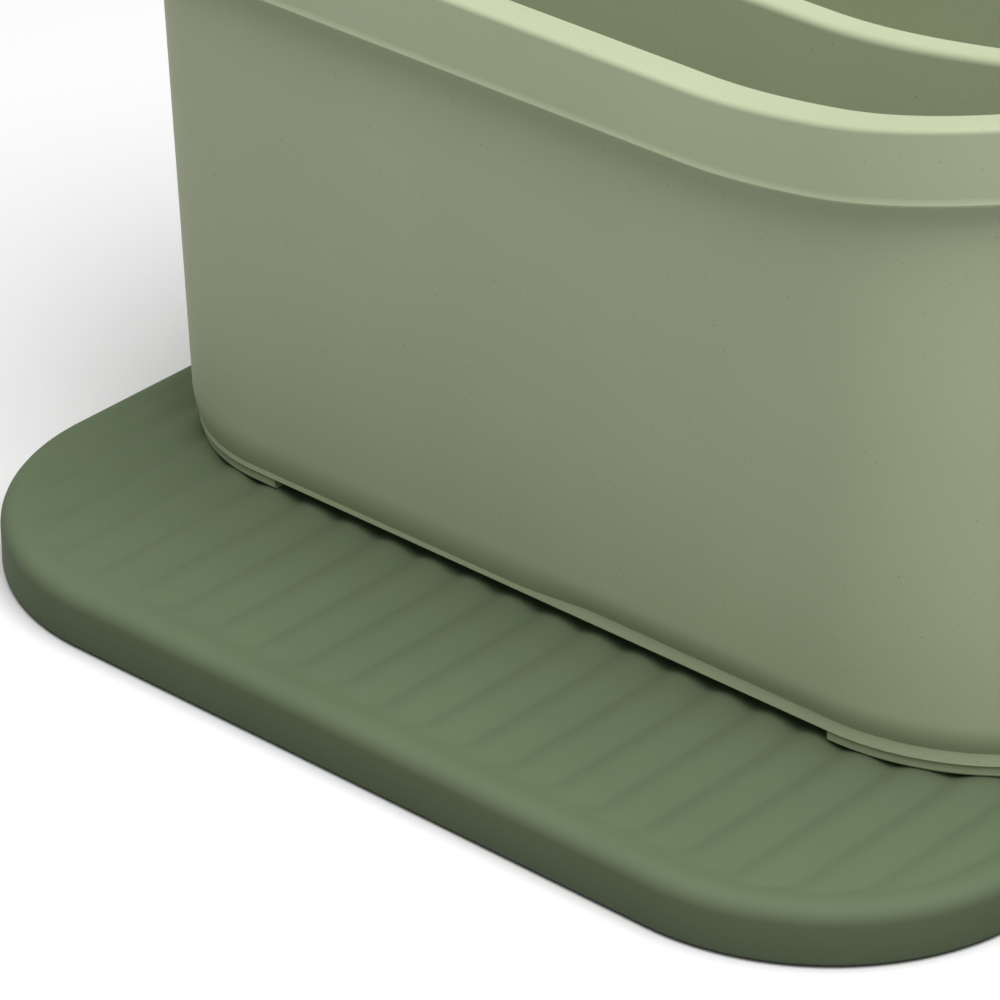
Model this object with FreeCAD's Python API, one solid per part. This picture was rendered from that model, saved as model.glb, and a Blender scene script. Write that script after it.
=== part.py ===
import FreeCAD, Part
import math
import os

# Kitchen sink caddy: a rippled drip tray on soft pads, a tapered tub with a wave rim, and a divider.
# Millimetres. +X to the right, -Y to the front, +Z up. The origin is on the surface that the pads
# stand on, under the middle of the whole object.

# Drip tray
tray_length = 200.0
tray_depth = 145.0
tray_height = 9.9
tray_corner_radius = 41.0
tray_edge_round = 2.6
tray_lower_chamfer = 0.6
tray_ground_gap = 0.5
tray_skirt_thickness = 5.0
tray_floor_thickness = 2.4

# Dish and ripples of the tray
dish_depth = 0.35
dish_rim_step = 0.1
dish_rim_width = 3.0
dish_side_run = 7.0
dish_floor_margin = 0.3
ripple_pitch = 8.69
ripple_height = 0.9
ripple_offset = 1.6
ripple_front_margin = 7.3
ripple_fade_run = 3.6

# Soft pads under the tray
pad_diameter = 12.0
pad_thickness = 2.0
pad_edge_inset = 19.0
pad_boss_wall = 2.5
pad_clearance = 0.1

# Tub: walls and floor
caddy_length = 190.4
caddy_depth = 83.0
caddy_left_radius = 29.6
caddy_right_radius = 41.0
caddy_front_setback = 44.7
caddy_wall_thickness = 3.0
caddy_wall_lean = 3.9
caddy_floor_thickness = 3.0
caddy_seat_clearance = 0.25

# Tub: base strip, the cove that leads from it to the wall, and the corner feet
base_inset = 0.75
strip_height = 1.6
strip_flare = 0.4
cove_height = 6.0
foot_height = 1.85
foot_left_length = 34.0
foot_right_length = 41.5
foot_depth = 15.0
foot_width = 7.0
foot_inset = 0.55

# Tub: rim band with its wave
rim_height = 104.3
rim_band_height = 12.2
rim_overhang = 3.6
rim_edge_round = 2.2
wave_rise = 8.9
wave_start = 29.6
wave_length = 71.7

# Tub: drain slots
slot_width = 5.0
slot_front_length = 11.0
slot_rear_length = 32.0
slot_pitch = 40.0
slot_end_margin = 26.0

# Divider and its guide ribs
divider_setback = 23.4
divider_thickness = 5.2
divider_clearance = 0.35
divider_edge_chamfer = 1.0
guide_rib_thickness = 2.4
guide_rib_depth = 3.2
guide_rib_drop = 16.0

# One length that every cut runs past the solid it cuts, and how near a point on a curve must lie
overrun = 5.0
touch_tolerance = 0.001

# Places that follow from the sizes
dish_top = tray_height - dish_rim_step
ripple_crest = dish_top - dish_depth
ripple_trough = ripple_crest - ripple_height
tray_front = -tray_depth / 2
ripple_start = tray_front + ripple_front_margin
ripple_full = ripple_start + ripple_fade_run
caddy_front = tray_front + caddy_front_setback
caddy_rear = caddy_front + caddy_depth
foot_bottom = ripple_crest + caddy_seat_clearance
base_bottom = foot_bottom + foot_height
strip_top = base_bottom + strip_height
cove_top = strip_top + cove_height
floor_top = base_bottom + caddy_floor_thickness
rim_low_top = foot_bottom + rim_height
rim_high_top = rim_low_top + wave_rise
wall_top = rim_high_top + overrun
wave_end = wave_start + wave_length
far_x = max(caddy_length, wave_end + overrun)

# Slope of the smooth apron behind the front edge, and how fast the ripples grow out of it
apron_length = ripple_full - tray_front - dish_rim_width
apron_slope = dish_depth / apron_length
ripple_growth = ripple_height / ripple_fade_run

# Shares of the dish's side run and of its fall, from the rim to the floor
side_run_shares = (0.0, 0.3, 0.7, 1.0)
side_fall_shares = (0.0, 0.2, 0.8, 1.0)

# Points along a corner of the tub and along the wave, and strips across a rounded edge
arc_points = 7
wave_points = 5
round_strips = 2


def smooth_step(value):
    """0 below 0, 1 above 1, and an S-curve between."""
    t = min(max(value, 0.0), 1.0)
    return t * t * (3 - 2 * t)


def curve_through(points):
    """A smooth edge through evenly spaced points."""
    last = len(points) - 1
    curve = Part.BSplineCurve()
    curve.interpolate(Points=points, Parameters=[k / last for k in range(len(points))])
    return curve.toShape()


def round_steps(radius):
    """Inset and drop of each line along a rounded edge, from its side to its top."""
    steps = []
    for k in range(round_strips + 1):
        angle = math.pi / 2 * k / round_strips
        steps.append((radius * (1 - math.cos(angle)), radius * (1 - math.sin(angle))))
    return steps


def line(start, end):
    return Part.LineSegment(start, end).toShape()


def tray_outline(inset, z):
    """The tray's rounded rectangle, drawn in by an inset, at one height."""
    half_x = tray_length / 2 - inset
    half_y = tray_depth / 2 - inset
    radius = tray_corner_radius - inset
    middle = radius * math.sqrt(1 / 2)
    arcs = []
    for side_x, side_y in ((-1, -1), (1, -1), (1, 1), (-1, 1)):
        centre_x = side_x * (half_x - radius)
        centre_y = side_y * (half_y - radius)
        on_side = FreeCAD.Vector(side_x * half_x, centre_y, z)
        on_front = FreeCAD.Vector(centre_x, side_y * half_y, z)
        between = FreeCAD.Vector(centre_x + side_x * middle, centre_y + side_y * middle, z)
        start, end = (on_side, on_front) if side_x == side_y else (on_front, on_side)
        arcs.append(Part.Arc(start, between, end).toShape())
    edges = []
    for arc, following in zip(arcs, arcs[1:] + arcs[:1]):
        edges += [arc, line(arc.Vertexes[-1].Point, following.Vertexes[0].Point)]
    return Part.Wire(edges)


def corner_arc(inset, side_x, side_y, height):
    """Points along one corner of the tub, anticlockwise, with the height as a function of X."""
    radius = caddy_left_radius if side_x < 0 else caddy_right_radius
    long_run = caddy_front if side_y < 0 else caddy_rear
    points = []
    for k in range(arc_points):
        turn = math.pi / 2 * k / (arc_points - 1)
        x = side_x * (caddy_length / 2 - radius + (radius - inset) * math.sin(turn))
        y = long_run - side_y * (radius - (radius - inset) * math.cos(turn))
        points.append(FreeCAD.Vector(x, y, height(x)))
    return points[::-1] if side_x == side_y else points


def run_edges(start, end, height):
    """Edges of the tub's front or rear run: a level stretch and a stretch that follows the wave."""
    turn = FreeCAD.Vector(wave_start, start.y, height(wave_start))
    edges = []
    for a, b in ((start, turn), (turn, end)):
        if a.z == b.z:
            edges.append(line(a, b))
        else:
            places = [a.x + (b.x - a.x) * k / (wave_points - 1) for k in range(wave_points)]
            edges.append(curve_through([FreeCAD.Vector(x, a.y, height(x)) for x in places]))
    return edges


def caddy_corners(inset, height):
    """The four corners in order round the tub, each with the start of the next corner."""
    corners = [corner_arc(inset, *sides, height) for sides in ((-1, -1), (1, -1), (1, 1), (-1, 1))]
    return [(points, following[0]) for points, following in zip(corners, corners[1:] + corners[:1])]


def level_outline(inset, z):
    """The tub's outline, drawn in by an inset, at one height."""
    edges = []
    for points, following in caddy_corners(inset, lambda x: z):
        edges.append(Part.Arc(points[0], points[arc_points // 2], points[-1]).toShape())
        edges.append(line(points[-1], following))
    return Part.Wire(edges)


def wave_outline(inset, height):
    """The tub's outline, drawn in by an inset, with a height for each X."""
    edges = []
    for points, following in caddy_corners(inset, height):
        edges.append(curve_through(points))
        if points[-1].y == following.y:
            edges += run_edges(points[-1], following, height)
        else:
            edges.append(line(points[-1], following))
    return Part.Wire(edges)


def prism(outline, height):
    return Part.Face(outline).extrude(FreeCAD.Vector(0, 0, height))


def loft(*outlines):
    return Part.makeLoft(list(outlines), True, True)


def box(low, high):
    size = [b - a for a, b in zip(low, high)]
    return Part.makeBox(*size, FreeCAD.Vector(*low))


def wall_lean(z):
    """How far the leaning wall stands out of the base outline at one height."""
    return caddy_wall_lean * (z - base_bottom) / (rim_low_top - base_bottom)


def wave_height(x):
    """Height of the rim's top at one place along the tub."""
    return rim_low_top + wave_rise * smooth_step((x - wave_start) / wave_length)


def under_wave(drop):
    """Everything below the rim's wave, lowered by drop."""
    low = rim_low_top - drop
    high = rim_high_top - drop
    third = wave_length / 3
    start = FreeCAD.Vector(wave_start, 0, low)
    end = FreeCAD.Vector(wave_end, 0, high)
    rise = Part.BezierCurve()
    rise.setPoles([start, FreeCAD.Vector(wave_start + third, 0, low),
                   FreeCAD.Vector(wave_end - third, 0, high), end])
    corners = [end, FreeCAD.Vector(far_x, 0, high), FreeCAD.Vector(far_x, 0, -overrun),
               FreeCAD.Vector(-far_x, 0, -overrun), FreeCAD.Vector(-far_x, 0, low), start]
    edges = [rise.toShape()]
    edges += [line(a, b) for a, b in zip(corners, corners[1:])]
    face = Part.Face(Part.Wire(edges))
    face.translate(FreeCAD.Vector(0, -tray_depth, 0))
    return face.extrude(FreeCAD.Vector(0, 2 * tray_depth, 0))


def wave_edges(solid):
    """Long edges of a solid that run along the rim's wave."""
    found = []
    for edge in solid.Edges:
        points = edge.discretize(wave_points)
        on_wave = all(abs(p.z - wave_height(p.x)) < touch_tolerance for p in points)
        if on_wave and abs(points[0].x - points[-1].x) > divider_thickness:
            found.append(edge)
    return found


def dish_sides():
    """The space inside the tray's raised edge, with sides that fall in an S-curve."""
    floor = ripple_trough - dish_floor_margin
    outlines = [tray_outline(dish_rim_width, tray_height + overrun)]
    for run, fall in zip(side_run_shares, side_fall_shares):
        height = tray_height + fall * (floor - tray_height)
        outlines.append(tray_outline(dish_rim_width + run * dish_side_run, height))
    return loft(*outlines)


def apron_height(y):
    """Height of the smooth slope that leads from the front edge to the ripples."""
    return dish_top - apron_slope * (y - tray_front - dish_rim_width)


def apron_space():
    """The space above the smooth slope behind the front edge."""
    end = ripple_full + ripple_fade_run / 4
    high = tray_height + overrun
    places = [(tray_front, apron_height(tray_front)), (end, apron_height(end)), (end, high)]
    points = [FreeCAD.Vector(-far_x, y, z) for y, z in places + [(tray_front, high)]]
    face = Part.Face(Part.makePolygon(points + points[:1]))
    return face.extrude(FreeCAD.Vector(2 * far_x, 0, 0))


def ripple_prism(start_y, slope):
    """The space above ripples that run to the rear down a slope and are at full depth at ripple_full."""
    count = math.ceil((tray_length / 2 + overrun) / ripple_pitch)
    along = FreeCAD.Vector(0, 1, -slope).normalize()
    across = FreeCAD.Vector(1, 0, 0)
    upward = across.cross(along)
    crest = FreeCAD.Vector(ripple_offset, start_y, ripple_crest + slope * (ripple_full - start_y))
    step = ripple_pitch / 2

    def place(x, rise):
        return crest + across * x + upward * rise

    edges = []
    for k in range(-2 * count, 2 * count + 1):
        peak = place(k * step, 0 if k % 2 == 0 else -ripple_height)
        start = place((k - 1 / 2) * step, -ripple_height / 2)
        end = place((k + 1 / 2) * step, -ripple_height / 2)
        edges.append(Part.Arc(start, peak, end).toShape())
    half = (2 * count + 1 / 2) * step
    corners = [place(half, -ripple_height / 2), place(half, tray_depth),
               place(-half, tray_depth), place(-half, -ripple_height / 2)]
    edges += [line(a, b) for a, b in zip(corners, corners[1:])]
    return Part.Face(Part.Wire(edges)).extrude(along * 2 * tray_depth)


def ripple_space():
    """The space above the ripples, which sink out of the apron and then run level to the rear."""
    sinking = ripple_prism(ripple_start - ripple_fade_run / 2, apron_slope + ripple_growth)
    return sinking.common(ripple_prism(tray_front - overrun, 0))


def dish_space():
    """What the dish takes out of the tray."""
    return apron_space().fuse(ripple_space()).common(dish_sides())


def pad_places():
    """Middle of each pad, by the corner that it stands under."""
    x = tray_length / 2 - pad_edge_inset
    y = tray_depth / 2 - pad_edge_inset
    return {"front_left": (-x, -y), "front_right": (x, -y), "rear_left": (-x, y), "rear_right": (x, y)}


def cylinder(place, diameter, low, high):
    return Part.makeCylinder(diameter / 2, high - low, FreeCAD.Vector(*place, low))


def make_block():
    """The tray's outside: a chamfer at the bottom, a plain side and a rounded top edge."""
    outlines = [tray_outline(tray_lower_chamfer, tray_ground_gap),
                tray_outline(0, tray_ground_gap + tray_lower_chamfer)]
    for inset, drop in round_steps(tray_edge_round):
        outlines.append(tray_outline(inset, tray_height - drop))
    return loft(*outlines)


def make_tray():
    recess_top = ripple_trough - tray_floor_thickness
    recess = prism(tray_outline(tray_skirt_thickness, -overrun), recess_top + overrun)
    for place in pad_places().values():
        boss = cylinder(place, pad_diameter + 2 * (pad_clearance + pad_boss_wall), -overrun, recess_top)
        recess = recess.cut(boss)
    tray = make_block().cut(recess)
    for place in pad_places().values():
        tray = tray.cut(cylinder(place, pad_diameter + 2 * pad_clearance, -overrun, pad_thickness))
    return tray.cut(dish_space())


def make_pad(place):
    return cylinder(place, pad_diameter, 0, pad_thickness)


def make_outer():
    """The tub's outside without the band: a flared strip, a cove above it and the leaning wall."""
    outlines = [level_outline(base_inset, base_bottom), level_outline(base_inset + strip_flare, strip_top)]
    outlines += [level_outline(-wall_lean(z), z) for z in (cove_top, wall_top)]
    return loft(*outlines).common(under_wave(0))


def make_band():
    """The stepped-out band under the rim, as a plug that the cavity hollows out."""
    low = rim_low_top - rim_band_height
    outset = wall_lean(low) + rim_overhang
    steps = round_steps(rim_edge_round)[:-1]
    last_inset, last_drop = steps[-1]
    over_top = (rim_edge_round + (rim_edge_round - last_inset) / 2, -last_drop / 2)
    outlines = [wave_outline(-outset, lambda x: low - overrun)]
    for inset, drop in steps + [over_top]:
        outlines.append(wave_outline(inset - outset, lambda x: wave_height(x) - drop))
    outlines.append(wave_outline(over_top[0] - outset, lambda x: wall_top))
    return loft(*outlines).common(under_wave(0)).cut(under_wave(rim_band_height))


def make_cavity(clearance, low):
    """The tub's inside, or the same space drawn in by a clearance."""
    inset = caddy_wall_thickness + clearance
    return loft(level_outline(inset - wall_lean(low), low),
                level_outline(inset - wall_lean(wall_top), wall_top))


def make_feet():
    """Low feet that follow the tub's four corners."""
    outer_inset = base_inset + foot_inset
    height = foot_height + caddy_floor_thickness / 2
    inside = level_outline(outer_inset + foot_width, foot_bottom - overrun)
    ring = prism(level_outline(outer_inset, foot_bottom), height).cut(prism(inside, height + 2 * overrun))
    left_end = foot_left_length - caddy_length / 2
    right_end = caddy_length / 2 - foot_right_length
    front_inner = caddy_front + foot_depth
    rear_inner = caddy_rear - foot_depth
    top = foot_bottom + height + overrun
    low = foot_bottom - overrun
    across = box((left_end, tray_front, low), (right_end, -tray_front, top))
    along = box((-caddy_length, front_inner, low), (caddy_length, rear_inner, top))
    return ring.cut(across).cut(along)


def make_slot(x, y_low, y_high):
    """A drain slot with round ends, right through the floor."""
    radius = slot_width / 2
    low = base_bottom - overrun
    high = floor_top + overrun
    slot = box((x - radius, y_low + radius, low), (x + radius, y_high - radius, high))
    for y in (y_low + radius, y_high - radius):
        slot = slot.fuse(cylinder((x, y), slot_width, low, high))
    return slot


def make_slots():
    """One row of drain slots in each compartment."""
    half = caddy_length / 2 - slot_end_margin
    count = int(half / slot_pitch)
    front_middle = caddy_front + (caddy_wall_thickness + divider_setback) / 2
    rear_start = caddy_front + divider_setback + divider_thickness
    rear_middle = (rear_start + caddy_rear - caddy_wall_thickness) / 2
    slots = []
    for middle, length in ((front_middle, slot_front_length), (rear_middle, slot_rear_length)):
        for k in range(-count, count + 1):
            slots.append(make_slot(k * slot_pitch, middle - length / 2, middle + length / 2))
    return slots


def make_guides():
    """Upright ribs on both end walls, in front of the divider and behind it."""
    skin = make_cavity(0, floor_top).cut(make_cavity(guide_rib_depth, floor_top))
    skin = skin.common(under_wave(guide_rib_drop))
    panel_front = caddy_front + divider_setback - divider_clearance
    panel_rear = panel_front + divider_thickness + 2 * divider_clearance
    ribs = []
    for y in (panel_front - guide_rib_thickness, panel_rear):
        slab = box((-far_x, y, floor_top), (far_x, y + guide_rib_thickness, wall_top))
        ribs += skin.common(slab).Solids
    return ribs


def make_body():
    tub = make_outer().fuse(make_band()).cut(make_cavity(0, floor_top))
    for rib in make_guides():
        tub = tub.fuse(rib)
    for foot in make_feet().Solids:
        tub = tub.fuse(foot)
    for slot in make_slots():
        tub = tub.cut(slot)
    return tub.removeSplitter()


def make_divider():
    """The panel between the compartments, its top on the rim's wave."""
    low = floor_top + divider_clearance
    front = caddy_front + divider_setback
    slab = box((-far_x, front, low), (far_x, front + divider_thickness, wall_top))
    panel = make_cavity(divider_clearance, low).common(slab).common(under_wave(0))
    return panel.makeChamfer(divider_edge_chamfer, wave_edges(panel))


def tray_place():
    """From the tub's middle to the tray's, so that the tray ends below the rim's left end."""
    rim_outset = wall_lean(rim_low_top - rim_band_height) + rim_overhang
    return FreeCAD.Vector((tray_length - caddy_length) / 2 - rim_outset, 0, 0)


def single(shape):
    """The one solid that a shape holds."""
    return shape.Solids[0]


tray_parts = {"drip_tray": make_tray()}
for corner, place in pad_places().items():
    tray_parts["tray_pad_" + corner] = make_pad(place)
for shape in tray_parts.values():
    shape.translate(tray_place())
parts = {**tray_parts, "caddy_body": make_body(), "divider": make_divider()}

os.makedirs("parts", exist_ok=True)
for name, shape in parts.items():
    solid = single(shape)
    solid.exportStep(os.path.join("parts", name + ".step"))
    box_size = solid.BoundBox
    print(name, len(shape.Solids), solid.isValid(), round(solid.Volume, 1),
          [round(v, 2) for v in (box_size.XMin, box_size.XMax, box_size.YMin, box_size.YMax,
                                 box_size.ZMin, box_size.ZMax)])
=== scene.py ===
"""Kitchen sink caddy: a rippled drip tray on soft pads, a tapered tub with a wave rim, and a divider.

Metres. +X to the right, -Y to the front, +Z up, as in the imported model.
"""
import math

import bpy
import bmesh
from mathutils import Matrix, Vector
from mathutils.geometry import tessellate_polygon


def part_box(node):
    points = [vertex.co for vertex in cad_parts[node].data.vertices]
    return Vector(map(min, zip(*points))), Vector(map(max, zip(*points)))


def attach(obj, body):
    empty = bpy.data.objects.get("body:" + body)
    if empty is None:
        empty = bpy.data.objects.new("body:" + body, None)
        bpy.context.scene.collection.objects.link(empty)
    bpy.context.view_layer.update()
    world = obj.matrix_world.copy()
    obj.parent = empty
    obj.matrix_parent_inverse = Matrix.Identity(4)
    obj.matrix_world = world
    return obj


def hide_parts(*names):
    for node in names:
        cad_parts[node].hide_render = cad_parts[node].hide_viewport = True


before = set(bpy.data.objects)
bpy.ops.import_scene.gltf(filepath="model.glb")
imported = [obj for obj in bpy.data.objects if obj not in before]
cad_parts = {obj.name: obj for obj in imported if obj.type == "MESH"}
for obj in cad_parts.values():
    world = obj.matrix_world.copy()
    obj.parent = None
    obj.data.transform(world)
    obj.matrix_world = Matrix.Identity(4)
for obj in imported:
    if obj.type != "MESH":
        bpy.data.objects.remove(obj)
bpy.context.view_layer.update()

MM = 0.001

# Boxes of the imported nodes
tray_low, tray_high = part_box("drip_tray")
tub_low, tub_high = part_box("caddy_body")
panel_low, panel_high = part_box("divider")

# Drip tray
TRAY_CORNER_RADIUS = 41.0 * MM
TRAY_EDGE_ROUND = 2.6 * MM
TRAY_LOWER_ROUND = 0.6 * MM
TRAY_SKIRT = 5.0 * MM
TRAY_FLOOR = 2.4 * MM
DISH_RIM_STEP = 0.1 * MM
DISH_RIM_WIDTH = 3.0 * MM
DISH_SIDE_RUN = 7.0 * MM
DISH_DEPTH = 0.35 * MM
DISH_FLOOR_MARGIN = 0.3 * MM
RIPPLE_PITCH = 8.69 * MM
RIPPLE_HEIGHT = 0.9 * MM
RIPPLE_OFFSET = 1.6 * MM
RIPPLE_FRONT_MARGIN = 7.3 * MM
RIPPLE_RISE_RUN = 3.6 * MM
DISH_SOFTNESS = 0.25 * MM

# How round the ripples' valleys are, where 0 is a sharp crease
RIPPLE_VALLEY_ROUND = 0.3

# Soft pads, each with a hollow middle inside the ring that it stands on, as shares of its radius
PAD_PREFIX = "tray_pad_"
PAD_RADIUS = 6.0 * MM
PAD_HOLLOW_SHARE = 0.55
PAD_RING_SHARE = 0.62
PAD_THICKNESS = 2.0 * MM
PAD_CLEARANCE = 0.1 * MM
PAD_BOSS_WALL = 2.5 * MM
PAD_BOSS_SETBACK = 0.04 * MM

# Tub
RIM_BAND = 12.2 * MM
RIM_OVERHANG = 3.6 * MM
RIM_ROUND = 0.9 * MM
RIM_LOWER_ROUND = 0.5 * MM
LIP_OUT = 0.2 * MM
LIP_RISE = 0.55 * MM
RIM_INNER_ROUND = 0.4 * MM
RIM_HEIGHT = 104.3 * MM
WAVE_RISE = 8.9 * MM
WAVE_START = 29.6 * MM
WAVE_LENGTH = 71.7 * MM
LEFT_RADIUS = 29.6 * MM
RIGHT_RADIUS = 41.0 * MM
WALL = 3.0 * MM
WALL_LEAN = 3.9 * MM
TUB_FLOOR = 3.0 * MM
TUB_FLOOR_ROUND = 1.0 * MM
EDGE_BREAK = 0.4 * MM

# Base strip under the tub's wall, which is low on the left half and taller on the right
BASE_INSET = 0.75 * MM
STRIP_LOW = 1.05 * MM
STRIP_HIGH = 2.15 * MM
STRIP_STEP_START = -9.0 * MM
STRIP_STEP_RUN = 18.0 * MM
STRIP_SLOPE = 0.17
STRIP_BREAK = 0.2 * MM
COVE_HEIGHT = 7.6 * MM

# Feet and drain slots
FOOT_HEIGHT = 1.85 * MM
FOOT_LEFT_LENGTH = 34.0 * MM
FOOT_RIGHT_LENGTH = 41.5 * MM
FOOT_DEPTH = 15.0 * MM
FOOT_WIDTH = 7.0 * MM
FOOT_INSET = 0.55 * MM
FOOT_SEAT = 0.2 * MM
SLOT_RADIUS = 2.5 * MM
SLOT_FRONT_LENGTH = 11.0 * MM
SLOT_REAR_LENGTH = 32.0 * MM
SLOT_PITCH = 40.0 * MM
SLOT_COUNT = 3

# Divider and guide ribs
PANEL_CLEARANCE = 0.35 * MM
PANEL_ROUND = 1.3 * MM
RIB_THICKNESS = 2.4 * MM
RIB_DEPTH = 3.2 * MM
RIB_DROP = 16.0 * MM

# Colours, as linear light
SAGE = (0.445, 0.487, 0.322)
SAGE_DEEP = (0.425, 0.466, 0.306)
SAGE_GRAIN = (0.14, 0.15, 0.10)
SAGE_LIGHT = (0.62, 0.66, 0.50)
GREEN = (0.128, 0.166, 0.098)
GREEN_DEEP = (0.119, 0.156, 0.091)
RUBBER = (0.030, 0.033, 0.030)
RUBBER_DUST = (0.055, 0.058, 0.052)
FLOOR_PALE = (0.86, 0.86, 0.86)
FLOOR_CLOUD = (0.85, 0.85, 0.85)
# Painted shade on the floor, only in the light it throws back up: darker near the object, lighter further
# off
FLOOR_SHADE_NEAR = (0.36, 0.36, 0.36)
FLOOR_SHADE_FAR = (0.70, 0.70, 0.70)

# Gloss and roughness of the materials
SAGE_GLOSS = 0.2
GREEN_GLOSS = 0.05
FLOOR_GLOSS = 0.1
SAGE_ROUGHNESS = (0.54, 0.62)
GREEN_ROUGHNESS = (0.56, 0.64)
RUBBER_ROUGHNESS = (0.7, 0.85)
FLOOR_ROUGHNESS = 0.9

# Noise in the materials, where a contrast is the range of the noise that spans the whole effect
SAGE_MOTTLE_SIZE = 45.0 * MM
GREEN_MOTTLE_SIZE = 30.0 * MM
MOTTLE_DETAIL = 3
MOTTLE_CONTRAST = (0.35, 0.65)
DUST_SIZE = 3.0 * MM
DUST_DETAIL = 4
DUST_CONTRAST = (0.4, 0.7)
CLOUD_SIZE = 400.0 * MM
CLOUD_DETAIL = 2
CLOUD_CONTRAST = (0.3, 0.7)
SKIN_SIZE = 0.5 * MM
SKIN_DETAIL = 2
SKIN_CONTRAST = (0.3, 0.7)
SKIN_DEPTH = 0.03 * MM
SAGE_SKIN_STRENGTH = 0.12
GREEN_SKIN_STRENGTH = 0.1
RUBBER_SKIN_STRENGTH = 0.2

# Grains in the sage plastic, most of them with the lower strength and the rest between the two
FAINT_SHARE = 0.7
DARK_GRAIN_CELL = 1.75 * MM
DARK_GRAIN_RADIUS = 0.22 * MM
DARK_GRAIN_STRENGTH = (0.12, 0.5)
LIGHT_GRAIN_CELL = 6.1 * MM
LIGHT_GRAIN_RADIUS = 0.3 * MM
LIGHT_GRAIN_STRENGTH = (0.1, 0.4)

# Places of a Mix node's colour sockets
MIX_FIRST = 6
MIX_SECOND = 7
MIX_RESULT = 2

# Points along curves
ROUND_STEPS = 6
CORNER_STEPS = 32
COVE_ROWS = 8
RUN_STEPS = 72
SIDE_STEPS = 12
WALL_ROWS = 28
TRAY_COLUMNS = 400
TRAY_CORNER_ROWS = 56
TRAY_MIDDLE_ROWS = 56
CIRCLE_STEPS = 48

# Rounds in which a place along the tub and the height there settle on each other
SETTLE_ROUNDS = 3

# Angles in degrees above which an edge stays sharp
CREASE = 35
TRAY_CREASE = 40
TUB_CREASE = 25

# Stage, light and camera, with the lens and sensor in millimetres, as Blender has them
FLOOR_SIZE = 6.0
# Distances from the floor's middle over which its painted shade gives way to the lighter colour
GLOW_NEAR = 0.17
GLOW_FAR = 0.34
LAMP_PLACE = Vector((0.36, -0.2, 1.5))
LAMP_SIZE = 1.6
LAMP_POWER = 37.0
WORLD_LIGHT = 0.15
CAMERA_AZIMUTH = math.radians(41.6)
CAMERA_ELEVATION = math.radians(29.92)
CAMERA_DISTANCE = 927.1 * MM
CAMERA_LENS = 201.6
CAMERA_SENSOR = 36.0
TARGET_FROM_MIDDLE = -40.25 * MM
TARGET_FROM_FRONT = 80.09 * MM

# Heights and places that follow
tray_front = tray_low.y
tray_middle = (tray_low.x + tray_high.x) / 2
tray_half = (tray_high.x - tray_low.x) / 2
dish_top = tray_high.z - DISH_RIM_STEP
ripple_crest = dish_top - DISH_DEPTH
ripple_start = tray_front + RIPPLE_FRONT_MARGIN
recess_top = ripple_crest - RIPPLE_HEIGHT - TRAY_FLOOR
apron_length = RIPPLE_FRONT_MARGIN + RIPPLE_RISE_RUN - DISH_RIM_WIDTH

foot_bottom = tub_low.z
base_bottom = foot_bottom + FOOT_HEIGHT
cove_top = base_bottom + COVE_HEIGHT
floor_top = base_bottom + TUB_FLOOR
rim_low_top = foot_bottom + RIM_HEIGHT
lean_rate = WALL_LEAN / (rim_low_top - base_bottom)
rim_outset = lean_rate * (rim_low_top - RIM_BAND - base_bottom) + RIM_OVERHANG
tub_half = tub_high.x - rim_outset
tub_front = tub_low.y + rim_outset
tub_rear = tub_high.y - rim_outset


def smooth_step(value):
    """0 to 1, with a level start and end."""
    t = min(max(value, 0.0), 1.0)
    return t * t * (3 - 2 * t)


def soft_max(a, b, softness):
    """The larger of two heights, with the crease between them rounded."""
    near = max(softness - abs(a - b), 0.0) / softness
    return max(a, b) + near * near * softness / 4


def shares(steps):
    """Even shares from 0 to 1."""
    return [k / steps for k in range(steps + 1)]


def arc_steps(radius, steps=ROUND_STEPS):
    """Run and rise along a quarter round, from its side to its end."""
    angles = [math.pi / 2 * t for t in shares(steps)]
    return [(radius * (1 - math.cos(a)), radius * math.sin(a)) for a in angles]


class Shell:
    """Points and faces of a piece while it is put together."""

    def __init__(self):
        self.points = []
        self.faces = []

    def row(self, points):
        """Adds points, and returns their indices."""
        start = len(self.points)
        self.points += [tuple(p) for p in points]
        return list(range(start, len(self.points)))

    def bridge(self, row, following, closed=True):
        """Quads between two rows of the same length."""
        pairs = list(zip(row, following))
        ends = pairs[1:] + (pairs[:1] if closed else [])
        for (a, b), (c, d) in zip(pairs, ends):
            self.faces.append((a, c, d, b))

    def rows(self, rings):
        """Joins rings of points one after another, and returns the first and the last."""
        indexed = [self.row(ring) for ring in rings]
        for row, following in zip(indexed, indexed[1:]):
            self.bridge(row, following)
        return indexed[0], indexed[-1]

    def cap(self, row):
        """One face over a row that closes on itself."""
        self.faces.append(tuple(row))

    def fill(self, outer, holes):
        """A flat face with holes, from rows that the shell has."""
        loops = [outer] + holes
        flat = [index for loop in loops for index in loop]
        triangles = tessellate_polygon([[Vector(self.points[i]) for i in loop] for loop in loops])
        self.faces += [tuple(flat[i] for i in triangle) for triangle in triangles]


def closed_shell(rings):
    """A shell over rings of points, with a face at each end."""
    shell = Shell()
    first, last = shell.rows(rings)
    shell.cap(first)
    shell.cap(last)
    return shell


def make_piece(name, shell, body, slot, material, *nodes, crease=CREASE):
    """A smooth-shaded object that rides on a body and may stand for CAD nodes."""
    mesh = bpy.data.meshes.new(name)
    mesh.from_pydata(shell.points, [], shell.faces)
    work = bmesh.new()
    work.from_mesh(mesh)
    bmesh.ops.recalc_face_normals(work, faces=work.faces)
    work.to_mesh(mesh)
    work.free()
    mesh.polygons.foreach_set("use_smooth", [True] * len(mesh.polygons))
    mesh.set_sharp_from_angle(angle=math.radians(crease))
    mesh.materials.append(material)
    piece = bpy.data.objects.new(name, mesh)
    bpy.context.scene.collection.objects.link(piece)
    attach(piece, body)
    if nodes:
        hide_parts(*nodes)


# Materials

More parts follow.
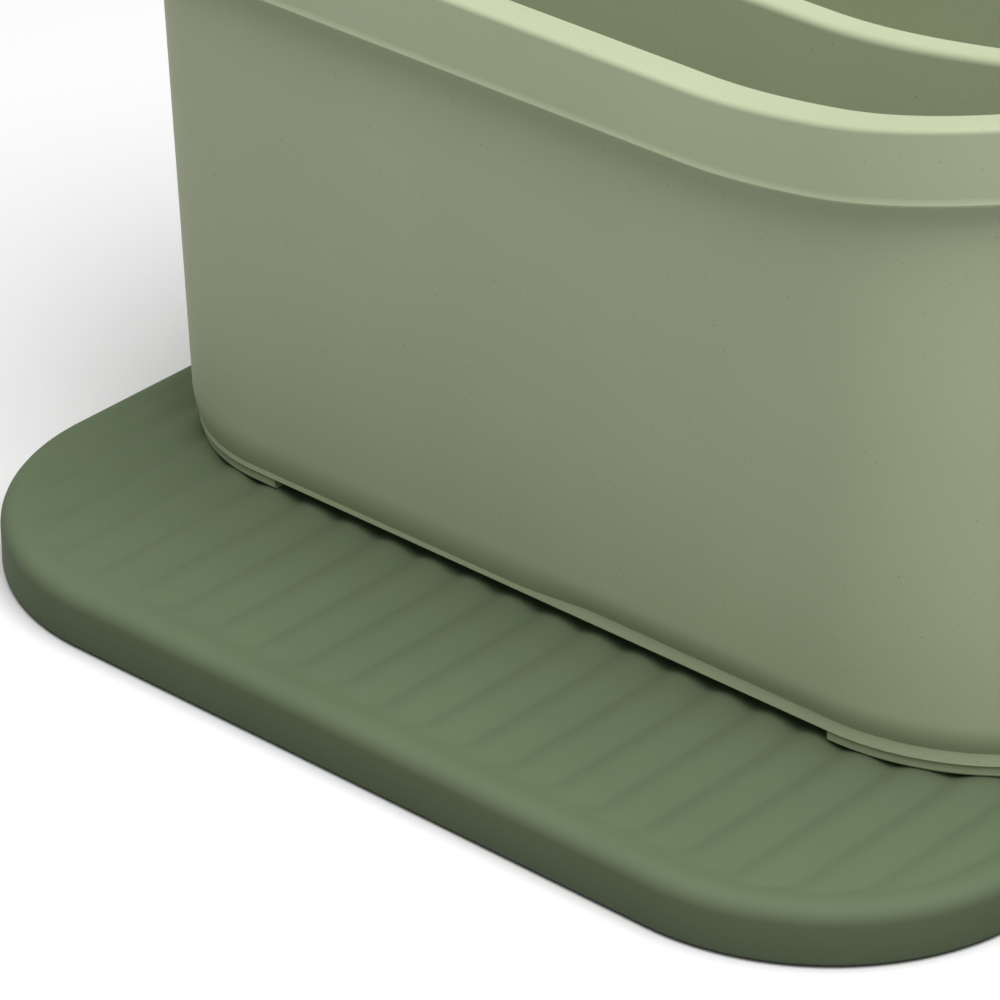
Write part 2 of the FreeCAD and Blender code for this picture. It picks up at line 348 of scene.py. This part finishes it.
def new_material(name):
    """A material, its nodes, links and shader, and the object's own coordinates."""
    material = bpy.data.materials.new(name)
    material.use_nodes = True
    nodes = material.node_tree.nodes
    place = nodes.new("ShaderNodeTexCoord").outputs["Object"]
    return material, nodes, material.node_tree.links, nodes["Principled BSDF"], place


def noise(nodes, links, place, size, detail):
    """A noise texture whose features are about one size."""
    texture = nodes.new("ShaderNodeTexNoise")
    texture.inputs["Scale"].default_value = 1 / size
    texture.inputs["Detail"].default_value = detail
    links.new(place, texture.inputs["Vector"])
    return texture.outputs["Fac"]


def remap(nodes, links, value, source, target=(0, 1)):
    """Carries one range of values over to another, and no further."""
    node = nodes.new("ShaderNodeMapRange")
    for name, number in zip(("From Min", "From Max", "To Min", "To Max"), source + target):
        node.inputs[name].default_value = number
    links.new(value, node.inputs["Value"])
    return node.outputs["Result"]


def mix_colour(nodes, links, factor, first, second):
    """Mixes two colours; each is a colour or another node's output."""
    node = nodes.new("ShaderNodeMix")
    node.data_type = "RGBA"
    links.new(factor, node.inputs["Factor"])
    for socket, colour in ((node.inputs[MIX_FIRST], first), (node.inputs[MIX_SECOND], second)):
        if isinstance(colour, tuple):
            socket.default_value = (*colour, 1)
        else:
            links.new(colour, socket)
    return node.outputs[MIX_RESULT]


def specks(nodes, links, place, cell, radius, strengths):
    """Fine grains: small balls of uneven strength, which show where the surface cuts them."""
    texture = nodes.new("ShaderNodeTexVoronoi")
    texture.inputs["Scale"].default_value = 1 / cell
    links.new(place, texture.inputs["Vector"])
    share = radius / cell
    ball = remap(nodes, links, texture.outputs["Distance"], (share / 2, share), (1, 0))
    chance = nodes.new("ShaderNodeSeparateColor")
    links.new(texture.outputs["Color"], chance.inputs["Color"])
    strength = remap(nodes, links, chance.outputs["Red"], (FAINT_SHARE, 1), strengths)
    grain = nodes.new("ShaderNodeMath")
    grain.operation = "MULTIPLY"
    links.new(ball, grain.inputs[0])
    links.new(strength, grain.inputs[1])
    return grain.outputs["Value"]


def add_skin(nodes, links, shader, place, roughness, strength):
    """A fine uneven skin: a low bump that also varies the roughness."""
    skin = noise(nodes, links, place, SKIN_SIZE, SKIN_DETAIL)
    links.new(remap(nodes, links, skin, SKIN_CONTRAST, roughness), shader.inputs["Roughness"])
    bump = nodes.new("ShaderNodeBump")
    bump.inputs["Strength"].default_value = strength
    bump.inputs["Distance"].default_value = SKIN_DEPTH
    links.new(skin, bump.inputs["Height"])
    links.new(bump.outputs["Normal"], shader.inputs["Normal"])


def sage_plastic():
    """Matte sage plastic with fine dark grains, a few light ones and a faint mottle."""
    material, nodes, links, shader, place = new_material("caddy_plastic")
    clouds = noise(nodes, links, place, SAGE_MOTTLE_SIZE, MOTTLE_DETAIL)
    mottle = remap(nodes, links, clouds, MOTTLE_CONTRAST)
    colour = mix_colour(nodes, links, mottle, SAGE_DEEP, SAGE)
    dark = specks(nodes, links, place, DARK_GRAIN_CELL, DARK_GRAIN_RADIUS, DARK_GRAIN_STRENGTH)
    colour = mix_colour(nodes, links, dark, colour, SAGE_GRAIN)
    light = specks(nodes, links, place, LIGHT_GRAIN_CELL, LIGHT_GRAIN_RADIUS, LIGHT_GRAIN_STRENGTH)
    colour = mix_colour(nodes, links, light, colour, SAGE_LIGHT)
    links.new(colour, shader.inputs["Base Color"])
    shader.inputs["Specular IOR Level"].default_value = SAGE_GLOSS
    add_skin(nodes, links, shader, place, SAGE_ROUGHNESS, SAGE_SKIN_STRENGTH)
    return material


def green_plastic():
    """Soft-matte dark green plastic with a faint mottle and a fine skin."""
    material, nodes, links, shader, place = new_material("tray_plastic")
    clouds = noise(nodes, links, place, GREEN_MOTTLE_SIZE, MOTTLE_DETAIL)
    mottle = remap(nodes, links, clouds, MOTTLE_CONTRAST)
    links.new(mix_colour(nodes, links, mottle, GREEN_DEEP, GREEN), shader.inputs["Base Color"])
    shader.inputs["Specular IOR Level"].default_value = GREEN_GLOSS
    add_skin(nodes, links, shader, place, GREEN_ROUGHNESS, GREEN_SKIN_STRENGTH)
    return material


def pad_rubber():
    """Dark soft rubber with a dusty, uneven skin."""
    material, nodes, links, shader, place = new_material("pad_rubber")
    clouds = noise(nodes, links, place, DUST_SIZE, DUST_DETAIL)
    dust = remap(nodes, links, clouds, DUST_CONTRAST)
    links.new(mix_colour(nodes, links, dust, RUBBER, RUBBER_DUST), shader.inputs["Base Color"])
    add_skin(nodes, links, shader, place, RUBBER_ROUGHNESS, RUBBER_SKIN_STRENGTH)
    return material


# Drip tray

def tray_half_rows():
    """The end of each grid row: its turn round the corner, and -1 to 1 from front corner to rear."""
    turns = [math.pi / 2 * t for t in shares(TRAY_CORNER_ROWS)]
    rows = [(turn, -1) for turn in turns]
    rows += [(math.pi / 2, 2 * t - 1) for t in shares(TRAY_MIDDLE_ROWS)[1:-1]]
    rows += [(turn, 1) for turn in turns[::-1]]
    return rows


def tray_row_end(turn, along):
    """The right-hand end of a grid row, where the rounded edge begins, and its outward direction."""
    radius = TRAY_CORNER_RADIUS - TRAY_EDGE_ROUND
    run = tray_high.y - TRAY_CORNER_RADIUS
    side = math.copysign(1, along)
    if turn < math.pi / 2:
        centre_y = side * run
    else:
        centre_y = along * run
    outward = Vector((math.sin(turn), side * math.cos(turn), 0))
    centre = Vector((tray_half - TRAY_CORNER_RADIUS, centre_y, 0))
    return centre + outward * radius, outward


def edge_distance(x, y):
    """How far inside the tray's outline a place is, which is given from the tray's middle."""
    over_x = abs(x) - (tray_half - TRAY_CORNER_RADIUS)
    over_y = abs(y) - (tray_high.y - TRAY_CORNER_RADIUS)
    outside = math.hypot(max(over_x, 0), max(over_y, 0))
    return TRAY_CORNER_RADIUS - outside - min(max(over_x, over_y), 0)


def ripple_arch(x):
    """Share of the ripples' height across them: 1 on a broad crest, 0 in a narrow rounded valley."""
    across = math.cos(math.pi * (x - RIPPLE_OFFSET) / RIPPLE_PITCH)
    rise = math.hypot(across, RIPPLE_VALLEY_ROUND) - RIPPLE_VALLEY_ROUND
    return rise / (math.hypot(1, RIPPLE_VALLEY_ROUND) - RIPPLE_VALLEY_ROUND)


def dish_height(x, y):
    """Height of the tray's upper face: raised edge, sinking apron and the ripples that rise out of it."""
    floor = ripple_crest - RIPPLE_HEIGHT - DISH_FLOOR_MARGIN
    fall = smooth_step((edge_distance(x, y) - DISH_RIM_WIDTH) / DISH_SIDE_RUN)
    side = tray_high.z + fall * (floor - tray_high.z)
    sunk = smooth_step((y - tray_front - DISH_RIM_WIDTH) / apron_length)
    growth = smooth_step((y - ripple_start) / RIPPLE_RISE_RUN)
    apron = dish_top - sunk * (DISH_DEPTH + RIPPLE_HEIGHT)
    return soft_max(side, apron + growth * RIPPLE_HEIGHT * ripple_arch(x), DISH_SOFTNESS)


def tray_grid(shell):
    """The upper face; returns its rim as indices, and the outward direction at each."""
    rows, ends = [], []
    for turn, along in tray_half_rows():
        end, outward = tray_row_end(turn, along)
        ends.append(outward)
        places = [(end.x * (2 * t - 1), end.y) for t in shares(TRAY_COLUMNS)]
        rows.append(shell.row([(x, y, dish_height(x, y)) for x, y in places]))
    for row, following in zip(rows, rows[1:]):
        shell.bridge(row, following, closed=False)
    mirrored = [Vector((-v.x, v.y, 0)) for v in ends]
    rim = rows[0] + [row[-1] for row in rows[1:-1]] + rows[-1][::-1] + [row[0] for row in rows[-2:0:-1]]
    outwards = [ends[0]] * len(rows[0]) + ends[1:-1] + [ends[-1]] * len(rows[-1]) + mirrored[-2:0:-1]
    return rim, outwards


def tray_edge():
    """Outset and height of the lines from the tray's upper edge down its side and into its recess."""
    profile = [(out, tray_high.z - drop) for drop, out in arc_steps(TRAY_EDGE_ROUND)[1:]]
    for inset, fall in arc_steps(TRAY_LOWER_ROUND, ROUND_STEPS // 2):
        profile.append((TRAY_EDGE_ROUND - inset, tray_low.z + TRAY_LOWER_ROUND - fall))
    skirt = TRAY_EDGE_ROUND - TRAY_SKIRT
    profile += [(skirt + EDGE_BREAK, tray_low.z), (skirt, tray_low.z + EDGE_BREAK)]
    profile += [(skirt, recess_top - EDGE_BREAK), (skirt - EDGE_BREAK, recess_top)]
    return profile


def make_tray(material):
    """The tray's upper face, its edge and skirt, and the flat recess under it."""
    shell = Shell()
    rim, outwards = tray_grid(shell)
    lines = [Vector(shell.points[i]) for i in rim]
    rings = []
    for outset, z in tray_edge():
        rings.append([(p.x + n.x * outset, p.y + n.y * outset, z) for p, n in zip(lines, outwards)])
    first, last = shell.rows(rings)
    shell.bridge(rim, first)
    shell.cap(last)
    shell.points = [(x + tray_middle, y, z) for x, y, z in shell.points]
    make_piece("tray_shell", shell, "tray", "tray_plastic", material, "drip_tray", crease=TRAY_CREASE)


def revolve(profile, centre):
    """A turned shell round an upright axis, from a line of radii and heights."""
    turns = [2 * math.pi * k / CIRCLE_STEPS for k in range(CIRCLE_STEPS)]
    rings = []
    for radius, z in profile:
        rings.append([(centre.x + radius * math.cos(a), centre.y + radius * math.sin(a), z) for a in turns])
    return closed_shell(rings)


def make_pads(rubber, plastic):
    """Pads that stand on a ring, each in a boss under the tray."""
    pad = [(PAD_RADIUS * PAD_HOLLOW_SHARE, EDGE_BREAK), (PAD_RADIUS * PAD_RING_SHARE, 0),
           (PAD_RADIUS - EDGE_BREAK, 0), (PAD_RADIUS, EDGE_BREAK), (PAD_RADIUS, PAD_THICKNESS)]
    inner = PAD_RADIUS + PAD_CLEARANCE
    outer = inner + PAD_BOSS_WALL
    low_edge = tray_low.z + PAD_BOSS_SETBACK
    boss = [(inner, PAD_THICKNESS), (inner, low_edge + EDGE_BREAK), (inner + EDGE_BREAK, low_edge),
            (outer - EDGE_BREAK, low_edge), (outer, low_edge + EDGE_BREAK),
            (outer, recess_top + EDGE_BREAK)]
    for node in [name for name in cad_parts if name.startswith(PAD_PREFIX)]:
        low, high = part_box(node)
        centre = (low + high) / 2
        corner = node.removeprefix(PAD_PREFIX)
        make_piece("pad_" + corner, revolve(pad, centre), "tray", "pad_rubber", rubber, node)
        make_piece("pad_boss_" + corner, revolve(boss, centre), "tray", "tray_plastic", plastic)


# Tub

def wall_lean(z):
    """How far the leaning wall stands out of the base outline at one height."""
    return lean_rate * (z - base_bottom)


def wave_height(x):
    """Height of the rim's top at one place along the tub."""
    return rim_low_top + WAVE_RISE * smooth_step((x - WAVE_START) / WAVE_LENGTH)


def strip_top(x):
    """Height of the crease between the base strip and the wall at one place along the tub."""
    rise = smooth_step((x - STRIP_STEP_START) / STRIP_STEP_RUN)
    return base_bottom + STRIP_LOW + (STRIP_HIGH - STRIP_LOW) * rise


def corner_radius(side_x):
    """Radius of the base outline's corners at the left or right end."""
    return LEFT_RADIUS if side_x < 0 else RIGHT_RADIUS


def corner_place(inset, side_x, side_y, turn):
    """A point of one corner, where the outline has turned by an angle from the long run."""
    radius = corner_radius(side_x)
    long_run = tub_front if side_y < 0 else tub_rear
    x = side_x * (tub_half - radius + (radius - inset) * math.sin(turn))
    y = long_run - side_y * (radius - (radius - inset) * math.cos(turn))
    return Vector((x, y, 0))


def tub_outline():
    """Places on the base outline, anticlockwise, each with its outward direction."""
    turns = [math.pi / 2 * t for t in shares(CORNER_STEPS)]
    outline = []
    for side_x, side_y in ((-1, -1), (1, -1), (1, 1), (-1, 1)):
        corner = []
        for turn in turns:
            outward = Vector((side_x * math.sin(turn), side_y * math.cos(turn), 0))
            corner.append((corner_place(0, side_x, side_y, turn), outward))
        if side_x == side_y:
            corner = corner[::-1]
            following = corner_place(0, -side_x, side_y, 0)
            steps = RUN_STEPS
        else:
            following = corner_place(0, side_x, -side_y, math.pi / 2)
            steps = SIDE_STEPS
        last, outward = corner[-1]
        outline += corner
        outline += [(last.lerp(following, t), outward) for t in shares(steps)[1:-1]]
    return outline


def tub_ring(outline, outset, height):
    """A ring round the tub. The height is a function of X, and the outset one of X and the height."""
    points = []
    for base, outward in outline:
        x = base.x
        for _ in range(SETTLE_ROUNDS):
            z = height(x)
            x = base.x + outward.x * outset(x, z)
        points.append((x, base.y + outward.y * outset(x, z), z))
    return points


def fixed(value):
    """A height or an outset that is the same all round."""
    return lambda *place: value


def wall_at(inset):
    """Outset of a line that keeps one distance from the wall's outer face."""
    return lambda x, z: wall_lean(z) - inset


def strip_outset(x, z):
    """Outset of the base strip, which draws in upwards."""
    return -BASE_INSET - STRIP_SLOPE * (z - base_bottom)


def cove_outset(x, z):
    """Outset of the cove, which leads in a curve from the strip's crease out to the wall."""
    low = strip_top(x)
    start = strip_outset(x, low)
    left = (cove_top - z) / (cove_top - low)
    end = wall_lean(cove_top)
    return end - (end - start) * left * left


def outer_profile():
    """Outset and height functions of the rings from the bottom edge up to the rim band's foot.

    The band's lower edge stands out as a fine lip, and the last two rings keep its shading narrow.
    """
    lines = [(fixed(-BASE_INSET - STRIP_BREAK), fixed(base_bottom))]
    lines.append((strip_outset, fixed(base_bottom + STRIP_BREAK)))
    lines.append((strip_outset, strip_top))
    for t in shares(COVE_ROWS)[1:]:
        lines.append((cove_outset, lambda x, t=t: strip_top(x) + t * (cove_top - strip_top(x))))
    for t in shares(WALL_ROWS)[1:]:
        lines.append((wall_at(0), lambda x, t=t: cove_top + t * (wave_height(x) - RIM_BAND - cove_top)))
    for run, rise in arc_steps(RIM_LOWER_ROUND):
        outset = rim_outset + LIP_OUT - RIM_LOWER_ROUND + rise
        lines.append((fixed(outset), lambda x, run=run: wave_height(x) - RIM_BAND + run))
    for step in (1, 2):
        rise = RIM_LOWER_ROUND + step * LIP_RISE
        lines.append((fixed(rim_outset), lambda x, rise=rise: wave_height(x) - RIM_BAND + rise))
    return lines


def rim_profile():
    """Rings over the rounded edge and the top of the rim, down to the inner wall."""
    lines = []
    for run, rise in arc_steps(RIM_ROUND, 2 * ROUND_STEPS):
        lines.append((fixed(rim_outset - run), lambda x, rise=rise: wave_height(x) - RIM_ROUND + rise))
    for run, rise in arc_steps(RIM_INNER_ROUND, ROUND_STEPS // 2)[::-1]:
        inset = WALL - run
        lines.append((wall_at(inset), lambda x, rise=rise: wave_height(x) - RIM_INNER_ROUND + rise))
    return lines


def inner_profile():
    """Rings down the inner wall and round its foot to the floor."""
    lines = []
    low = floor_top + TUB_FLOOR_ROUND
    for t in shares(WALL_ROWS)[::-1][1:]:
        lines.append((wall_at(WALL), lambda x, t=t: low + t * (wave_height(x) - RIM_INNER_ROUND - low)))
    for run, rise in arc_steps(TUB_FLOOR_ROUND)[1:]:
        lines.append((wall_at(WALL + run), fixed(low - rise)))
    return lines


def slot_loop(centre_x, low_y, high_y, radius, z):
    """A slot's outline with round ends."""
    points = []
    for y, start in ((high_y - SLOT_RADIUS, 0), (low_y + SLOT_RADIUS, math.pi)):
        for t in shares(2 * ROUND_STEPS):
            angle = start + math.pi * t
            points.append((centre_x + radius * math.cos(angle), y + radius * math.sin(angle), z))
    return points


def slot_places():
    """Middle X, lowest Y and highest Y of every drain slot."""
    front_middle = (tub_front + WALL + panel_low.y) / 2
    rear_middle = (panel_high.y + tub_rear - WALL) / 2
    places = []
    for middle, length in ((front_middle, SLOT_FRONT_LENGTH), (rear_middle, SLOT_REAR_LENGTH)):
        for k in range(SLOT_COUNT):
            x = (k - (SLOT_COUNT - 1) / 2) * SLOT_PITCH
            places.append((x, middle - length / 2, middle + length / 2))
    return places


def make_tub(material):
    """The tub's walls, rim and floor, with drain slots through the floor."""
    shell = Shell()
    outline = tub_outline()
    lines = outer_profile() + rim_profile() + inner_profile()
    under, floor = shell.rows([tub_ring(outline, outset, height) for outset, height in lines])
    upper, lower = [], []
    for x, low_y, high_y in slot_places():
        wide = SLOT_RADIUS + EDGE_BREAK
        levels = [(wide, floor_top), (SLOT_RADIUS, floor_top - EDGE_BREAK),
                  (SLOT_RADIUS, base_bottom + EDGE_BREAK), (wide, base_bottom)]
        first, last = shell.rows([slot_loop(x, low_y, high_y, radius, z) for radius, z in levels])
        upper.append(first)
        lower.append(last)
    shell.fill(floor, upper)
    shell.fill(under, lower)
    make_piece("tub_shell", shell, "caddy", "caddy_plastic", material, "caddy_body", crease=TUB_CREASE)


def foot_line(inset, side_x, side_y):
    """Places along one edge of a foot, from its end on the long run round the corner."""
    length = FOOT_LEFT_LENGTH if side_x < 0 else FOOT_RIGHT_LENGTH
    radius = corner_radius(side_x)
    start = corner_place(inset, side_x, side_y, 0)
    start.x = side_x * (tub_half - length)
    last_turn = math.acos((radius - FOOT_DEPTH) / (radius - inset))
    return [start] + [corner_place(inset, side_x, side_y, last_turn * t) for t in shares(CORNER_STEPS)]


def make_feet(material):
    """Low feet that follow the tub's corners and end just above the ripples' crests."""
    outer = BASE_INSET + FOOT_INSET
    top = base_bottom + TUB_FLOOR / 2
    low = foot_bottom - FOOT_SEAT
    corners = {"front_left": (-1, -1), "front_right": (1, -1), "rear_right": (1, 1), "rear_left": (-1, 1)}
    for name, sides in corners.items():
        sections = []
        for out, far in zip(foot_line(outer, *sides), foot_line(outer + FOOT_WIDTH, *sides)):
            inward = (far - out).normalized() * EDGE_BREAK
            levels = [(out, top), (out, low + EDGE_BREAK), (out + inward, low),
                      (far - inward, low), (far, low + EDGE_BREAK), (far, top)]
            sections.append([(p.x, p.y, z) for p, z in levels])
        make_piece("tub_foot_" + name, closed_shell(sections), "caddy", "caddy_plastic", material)


def inner_end(side, y, z, clearance):
    """Distance of the tub's inner end wall from its middle at one place across it, less a clearance."""
    radius = corner_radius(side)
    over = max(tub_front + radius - y, 0)
    reach = radius + wall_lean(z) - WALL - clearance
    return tub_half - radius + math.sqrt(reach * reach - over * over)


def make_ribs(material):
    """Upright ribs on both end walls, in front of the divider and behind it."""
    front = panel_low.y - PANEL_CLEARANCE - RIB_THICKNESS
    rear = panel_high.y + PANEL_CLEARANCE
    for side, end in ((-1, "left"), (1, "right")):
        high = wave_height(side * tub_half) - RIB_DROP
        for y, face in ((front, "front"), (rear, "rear")):
            sections = []
            for z, shrink in ((floor_top - EDGE_BREAK, 0), (high - EDGE_BREAK, 0), (high, EDGE_BREAK)):
                low, far = y + shrink, y + RIB_THICKNESS - shrink
                depth = RIB_DEPTH - shrink
                places = [(-EDGE_BREAK, low), (depth - EDGE_BREAK, low), (depth, low + EDGE_BREAK),
                          (depth, far - EDGE_BREAK), (depth - EDGE_BREAK, far), (-EDGE_BREAK, far)]
                section = []
                for inset, across in places:
                    section.append((side * inner_end(side, across, z, inset), across, z))
                sections.append(section)
            name = "guide_rib_" + end + "_" + face
            make_piece(name, closed_shell(sections), "caddy", "caddy_plastic", material)


# Divider

def panel_section(shrink):
    """Y and height function of each line along the divider, from front foot over its top to rear foot."""
    front, rear = panel_low.y + shrink, panel_high.y - shrink
    bottom = panel_low.z + shrink
    lines = [(front + EDGE_BREAK, fixed(bottom)), (front, fixed(bottom + EDGE_BREAK))]
    arcs = arc_steps(PANEL_ROUND)
    for run, rise in arcs:
        lines.append((front + run, lambda x, rise=rise: wave_height(x) - shrink - PANEL_ROUND + rise))
    for run, rise in arcs[::-1]:
        lines.append((rear - run, lambda x, rise=rise: wave_height(x) - shrink - PANEL_ROUND + rise))
    lines += [(rear, fixed(bottom + EDGE_BREAK)), (rear - EDGE_BREAK, fixed(bottom))]
    return lines


def make_divider(material):
    """The panel between the compartments, with a rounded top on the rim's wave."""
    near_end = 1 - EDGE_BREAK / panel_high.x
    stations = [((2 * t - 1) * near_end, 0) for t in shares(2 * RUN_STEPS)]
    stations = [(-1, EDGE_BREAK)] + stations + [(1, EDGE_BREAK)]
    sections = []
    for share, shrink in stations:
        section = []
        for y, height in panel_section(shrink):
            x = share * tub_half
            for _ in range(SETTLE_ROUNDS):
                z = height(x)
                x = share * inner_end(share, y, z, PANEL_CLEARANCE)
            section.append((x, y, z))
        sections.append(section)
    make_piece("divider_panel", closed_shell(sections), "divider", "caddy_plastic", material, "divider")


# Stage, light and camera

def seen_directly(nodes, links):
    """1 for what the camera sees, itself or in a reflection, and 0 for light on its way to the object."""
    path = nodes.new("ShaderNodeLightPath")
    seen = path.outputs["Is Camera Ray"]
    for name in ("Is Glossy Ray", "Is Transmission Ray"):
        either = nodes.new("ShaderNodeMath")
        either.operation = "MAXIMUM"
        links.new(seen, either.inputs[0])
        links.new(path.outputs[name], either.inputs[1])
        seen = either.outputs["Value"]
    return seen


def make_floor():
    """A pale sheet whose colour, in the light it throws back up, holds painted shade: it throws less light
    back up near the object than further off.
    """
    half = FLOOR_SIZE / 2
    mesh = bpy.data.meshes.new("floor")
    corners = [(-half, -half, 0), (half, -half, 0), (half, half, 0), (-half, half, 0)]
    mesh.from_pydata(corners, [], [(0, 1, 2, 3)])
    floor = bpy.data.objects.new("floor", mesh)
    bpy.context.scene.collection.objects.link(floor)
    material, nodes, links, shader, place = new_material("floor")
    clouds = remap(nodes, links, noise(nodes, links, place, CLOUD_SIZE, CLOUD_DETAIL), CLOUD_CONTRAST)
    pale = mix_colour(nodes, links, clouds, FLOOR_CLOUD, FLOOR_PALE)
    reach = nodes.new("ShaderNodeVectorMath")
    reach.operation = "LENGTH"
    links.new(place, reach.inputs[0])
    away = remap(nodes, links, reach.outputs["Value"], (GLOW_NEAR, GLOW_FAR))
    # Painted shade in the light the floor throws back up, darker near the object; the camera sees the pale
    # colour
    painted_shade = mix_colour(nodes, links, away, FLOOR_SHADE_NEAR, FLOOR_SHADE_FAR)
    seen = seen_directly(nodes, links)
    links.new(mix_colour(nodes, links, seen, painted_shade, pale), shader.inputs["Base Color"])
    shader.inputs["Roughness"].default_value = FLOOR_ROUGHNESS
    shader.inputs["Specular IOR Level"].default_value = FLOOR_GLOSS
    mesh.materials.append(material)


def make_world():
    """Even white light, with a plain white backdrop where the camera or a reflection sees it."""
    world = bpy.data.worlds.new("studio")
    bpy.context.scene.world = world
    world.use_nodes = True
    nodes, links = world.node_tree.nodes, world.node_tree.links
    background = nodes["Background"]
    background.inputs["Color"].default_value = (1, 1, 1, 1)
    strength = remap(nodes, links, seen_directly(nodes, links), (0, 1), (WORLD_LIGHT, 1))
    links.new(strength, background.inputs["Strength"])


def make_lamp():
    """A wide soft box overhead, a little to the right and in front, turned to the object."""
    light = bpy.data.lights.new("soft_box", "AREA")
    light.shape = "SQUARE"
    light.size = LAMP_SIZE
    light.energy = LAMP_POWER
    lamp = bpy.data.objects.new("soft_box", light)
    lamp.location = LAMP_PLACE
    lamp.rotation_euler = (-LAMP_PLACE).to_track_quat("-Z", "Y").to_euler()
    bpy.context.scene.collection.objects.link(lamp)


def make_camera():
    """A camera at the photo's viewing angle, aimed at a point on the ground."""
    target = Vector((tray_middle + TARGET_FROM_MIDDLE, tray_front + TARGET_FROM_FRONT, 0))
    back = Vector((math.sin(CAMERA_AZIMUTH) * math.cos(CAMERA_ELEVATION),
                   -math.cos(CAMERA_AZIMUTH) * math.cos(CAMERA_ELEVATION), math.sin(CAMERA_ELEVATION)))
    data = bpy.data.cameras.new("camera")
    data.lens = CAMERA_LENS
    data.sensor_width = CAMERA_SENSOR
    camera = bpy.data.objects.new("camera", data)
    camera.location = target + back * CAMERA_DISTANCE
    camera.rotation_euler = (-back).to_track_quat("-Z", "Y").to_euler()
    bpy.context.scene.collection.objects.link(camera)
    bpy.context.scene.camera = camera


def main():
    bpy.context.scene.view_settings.view_transform = "Standard"
    sage = sage_plastic()
    green = green_plastic()
    make_tray(green)
    make_pads(pad_rubber(), green)
    make_tub(sage)
    make_feet(sage)
    make_ribs(sage)
    make_divider(sage)
    make_floor()
    make_world()
    make_lamp()
    make_camera()


main()
